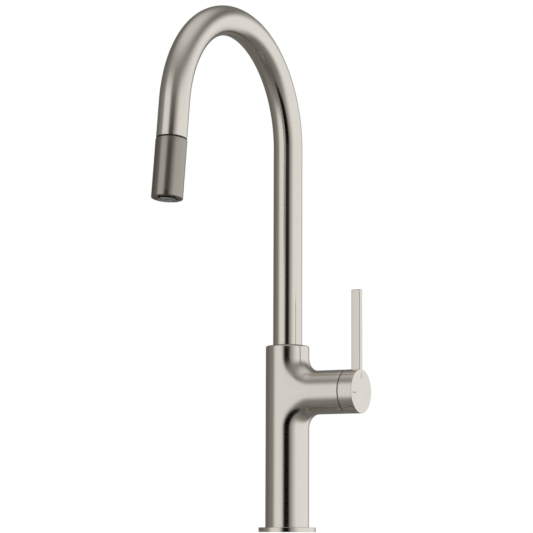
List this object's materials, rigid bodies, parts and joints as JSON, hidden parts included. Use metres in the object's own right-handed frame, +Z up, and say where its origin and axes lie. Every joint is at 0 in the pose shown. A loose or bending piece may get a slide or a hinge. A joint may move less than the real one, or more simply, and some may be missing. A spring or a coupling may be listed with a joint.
{
  "type": "pull-down kitchen faucet",
  "caption": "Deck-mounted gooseneck kitchen faucet in brushed steel with a side lever, a swivelling neck and a pull-out spray head on a hose.",
  "frame": {"origin": "centre of the deck hole at the underside of the base ring", "axes": "+Z up along the body, spout over -Y, lever arm along +X"},
  "size_m": [0.0985, 0.2404, 0.5189],
  "materials": {
    "brushed_steel": "brushed",
    "zinc_steel": "satin",
    "brass": "machined",
    "black_rubber": "matte",
    "black_plastic": "matte",
    "white_plastic": "matte",
    "white_ceramic": "polished",
    "grey_plastic": "matte",
    "hose_cover": "braided nylon",
    "cold_enamel": "enamel",
    "hot_enamel": "enamel"
  },
  "bodies": {
    "base": {"base_ring": "brushed_steel", "base_seal": "black_rubber", "shank": "zinc_steel", "rubber_washer": "black_rubber", "steel_washer": "zinc_steel", "mounting_nut": "brass", "body_tube": "brushed_steel", "arm_tube": "brushed_steel", "arm_blend": "brushed_steel", "neck_bush_upper": "black_plastic", "neck_bush_lower": "black_plastic", "circlip": "zinc_steel", "limit_screw": "zinc_steel", "valve_block": "brass", "cartridge_sleeve": "brass", "sleeve_oring": "black_rubber", "cartridge_seal": "black_rubber", "fixed_disc": "white_ceramic", "cartridge_body": "white_plastic", "cartridge_nut": "brass", "arm_glide_ring": "black_plastic", "hose_lower": "hose_cover", "hose_coupling": "brass"},
    "lever": {"moving_disc": "white_ceramic", "cartridge_stem": "brass", "handle_cap": "brushed_steel", "grub_screw": "zinc_steel", "lever_blade": "brushed_steel", "cold_mark": "cold_enamel", "hot_mark": "hot_enamel"},
    "neck": {"neck_tube": "brushed_steel", "neck_collar": "brass", "spray_hose": "hose_cover", "dock_bush": "black_plastic"},
    "hose_end": {"hose_ferrule": "zinc_steel", "hose_nut": "brass"},
    "spray_head": {"spray_shell": "brushed_steel", "spray_core": "black_plastic", "hose_washer": "black_rubber", "check_valve": "white_plastic", "outlet_housing": "grey_plastic", "filter_screen": "zinc_steel", "face_plate": "grey_plastic", "face_ring": "black_plastic", "outlet_ring": "brushed_steel"}
  },
  "joints": [
    {"name": "neck_swivel", "type": "hinge", "parent": "base", "child": "neck", "pos_m": [0, 0, 0.15], "axis": [0, 0, 1], "range_deg": [-70, 70]},
    {"name": "lever_turn", "type": "hinge", "parent": "base", "child": "lever", "pos_m": [0.05, 0, 0.1205], "axis": [1, 0, 0], "range_deg": [0, 90]},
    {"name": "hose_pull", "type": "slide", "parent": "neck", "child": "hose_end", "axis": [0, -0.1236, -0.9923], "range_m": [0, 0.24]},
    {"name": "head_spin", "type": "hinge", "parent": "hose_end", "child": "spray_head", "pos_m": [0, -0.19764, 0.29836], "axis": [0, -0.1236, -0.9923], "continuous": true}
  ]
}
